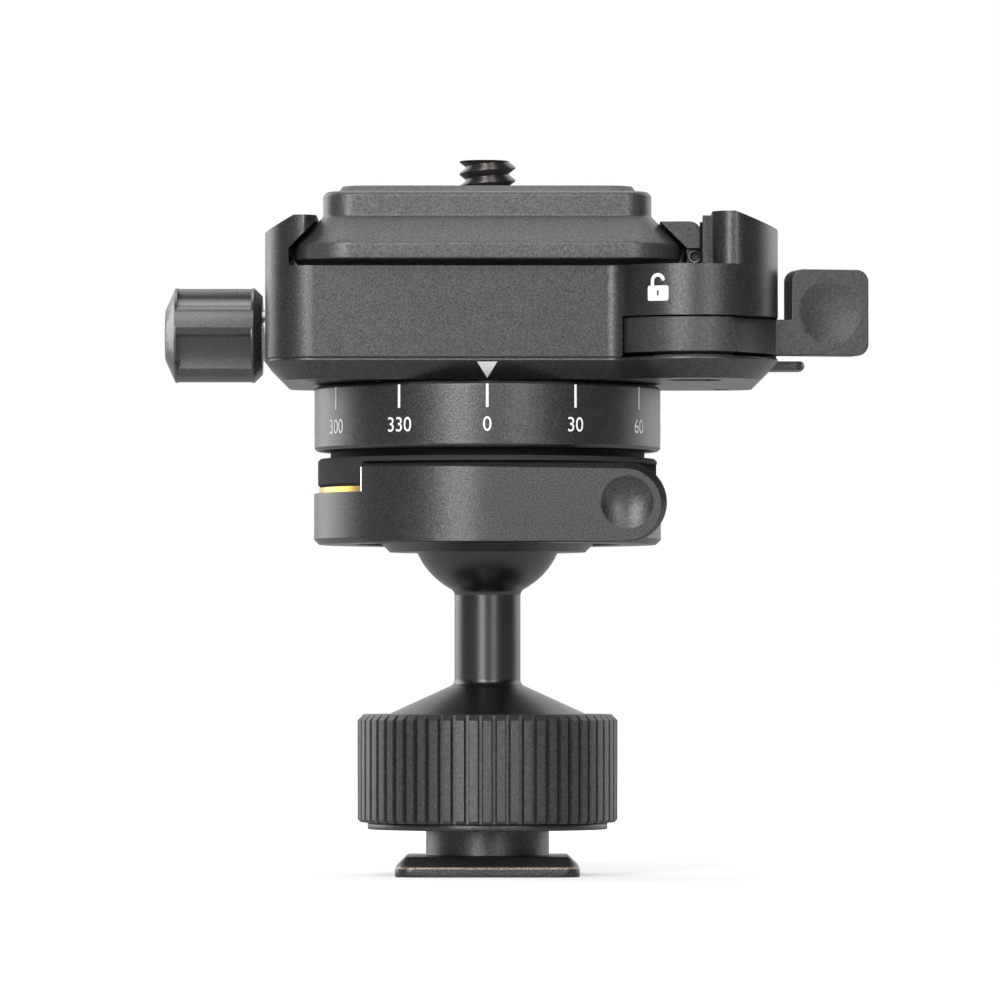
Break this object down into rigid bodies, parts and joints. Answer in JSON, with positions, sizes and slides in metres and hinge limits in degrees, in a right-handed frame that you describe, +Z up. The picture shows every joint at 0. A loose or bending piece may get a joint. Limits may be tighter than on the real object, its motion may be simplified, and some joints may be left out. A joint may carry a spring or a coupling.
{
  "type": "reverse ball head",
  "caption": "Inverted camera ball head with a lever quick-release clamp and panning dial on top, and a short stem with a knurled lock ring and cold-shoe foot below.",
  "frame": {"origin": "middle of the foot's underside, at the mouth of its tapped hole", "axes": "+Z up along the stem and the camera screw, +X to the clamp lever's side, the front towards -Y"},
  "size_m": [0.0699, 0.0403, 0.0714],
  "materials": {
    "black_anodised": "bead-blasted, black anodised",
    "plate_anodised": "fine blasted, black anodised",
    "ball_black": "turned smooth, black anodised",
    "knob_black": "satin black anodised",
    "moulded_black": "grained moulding",
    "pad_rubber": "matt ribbed",
    "brass": "turned",
    "steel": "turned",
    "dark_steel": "blackened",
    "slip_plastic": "smooth white"
  },
  "bodies": {
    "base": {"shoe_foot": "black_anodised", "ball_stem": "ball_black"},
    "lock_washer": {"clamp_washer": "black_anodised"},
    "lock_ring": {"lock_ring": "moulded_black"},
    "ball_pad": {"ball_top_pad": "slip_plastic"},
    "ball_liner": {"ball_liner": "slip_plastic"},
    "housing": {"housing": "black_anodised", "socket_collar": "black_anodised", "brass_ring": "brass", "dial_ring": "black_anodised", "pan_spindle": "steel", "spindle_screw": "dark_steel", "pan_washer": "slip_plastic"},
    "ball_lock_lever": {"ball_lock_lever": "black_anodised"},
    "clamp": {"clamp_body": "black_anodised", "base_plate": "black_anodised", "base_screws": "dark_steel", "lever_pivot": "dark_steel", "lever_washer": "slip_plastic", "jaw_guide_pins": "steel", "jaw_springs": "steel", "button_spring": "steel"},
    "pan_brake": {"pan_brake_shoe": "brass"},
    "pan_knob": {"pan_knob": "knob_black", "pan_screw": "steel", "knob_washer": "steel"},
    "clamp_lever": {"clamp_lever": "moulded_black"},
    "moving_jaw": {"moving_jaw": "black_anodised", "cam_follower": "steel"},
    "safety_button": {"safety_button": "moulded_black"},
    "qr_plate": {"qr_plate": "plate_anodised", "rubber_pad": "pad_rubber"},
    "screw_clip": {"screw_circlip": "steel"},
    "camera_screw": {"camera_screw": "dark_steel"}
  },
  "joints": [
    {"name": "washer_slide", "type": "slide", "parent": "base", "child": "lock_washer", "axis": [0, 0, 1], "range_m": [-0.00125, 0]},
    {"name": "lock_ring_turn", "type": "hinge", "parent": "lock_washer", "child": "lock_ring", "pos_m": [0, 0, 0.0108], "axis": [0, 0, 1], "range_deg": [-360, 0]},
    {"name": "ball_swivel", "type": "hinge", "parent": "base", "child": "ball_pad", "pos_m": [0, 0, 0.03536], "axis": [0, 0, 1], "continuous": true},
    {"name": "ball_tilt", "type": "hinge", "parent": "ball_pad", "child": "ball_liner", "pos_m": [0, 0, 0.03536], "axis": [1, 0, 0], "range_deg": [-38, 38]},
    {"name": "ball_spin", "type": "hinge", "parent": "ball_liner", "child": "housing", "pos_m": [0, 0, 0.03536], "axis": [0, 0, 1], "continuous": true},
    {"name": "ball_lock_turn", "type": "hinge", "parent": "housing", "child": "ball_lock_lever", "pos_m": [0, 0, 0.0358], "axis": [0, 0, 1], "range_deg": [0, 60]},
    {"name": "pan_turn", "type": "hinge", "parent": "housing", "child": "clamp", "pos_m": [0, 0, 0.0536], "axis": [0, 0, 1], "continuous": true},
    {"name": "brake_slide", "type": "slide", "parent": "clamp", "child": "pan_brake", "axis": [1, 0, 0], "range_m": [-0.0007, 0.000175]},
    {"name": "pan_knob_turn", "type": "hinge", "parent": "pan_brake", "child": "pan_knob", "pos_m": [-0.0274, 0, 0.05396], "axis": [1, 0, 0], "range_deg": [-360, 90]},
    {"name": "clamp_lever_turn", "type": "hinge", "parent": "clamp", "child": "clamp_lever", "pos_m": [0.0203, -0.013, 0.0533], "axis": [0, 0, 1], "range_deg": [-120, 0]},
    {"name": "jaw_slide", "type": "slide", "parent": "clamp", "child": "moving_jaw", "axis": [1, 0, 0], "range_m": [0, 0.00075]},
    {"name": "button_press", "type": "slide", "parent": "clamp", "child": "safety_button", "axis": [-1, 0, 0], "range_m": [0, 0.0012], "stiffness_N_per_m": 300, "springref_m": -0.0008, "deforming": ["button_spring"]},
    {"name": "plate_slide", "type": "slide", "parent": "clamp", "child": "qr_plate", "axis": [0, -1, 0], "range_m": [-0.03, 0.03]},
    {"name": "screw_rise", "type": "slide", "parent": "qr_plate", "child": "screw_clip", "axis": [0, 0, 1], "range_m": [0, 0.0012]},
    {"name": "camera_screw_turn", "type": "hinge", "parent": "screw_clip", "child": "camera_screw", "pos_m": [0, 0, 0.0664], "axis": [0, 0, 1], "continuous": true}
  ],
  "couplings": [
    {"joint": "lock_ring_turn", "follows": "washer_slide", "rad_per_m": 5026.5},
    {"joint": "pan_knob_turn", "follows": "brake_slide", "rad_per_m": 8975.9},
    {"joint": "clamp_lever_turn", "follows": "jaw_slide", "rad_per_m": -2792.5}
  ]
}
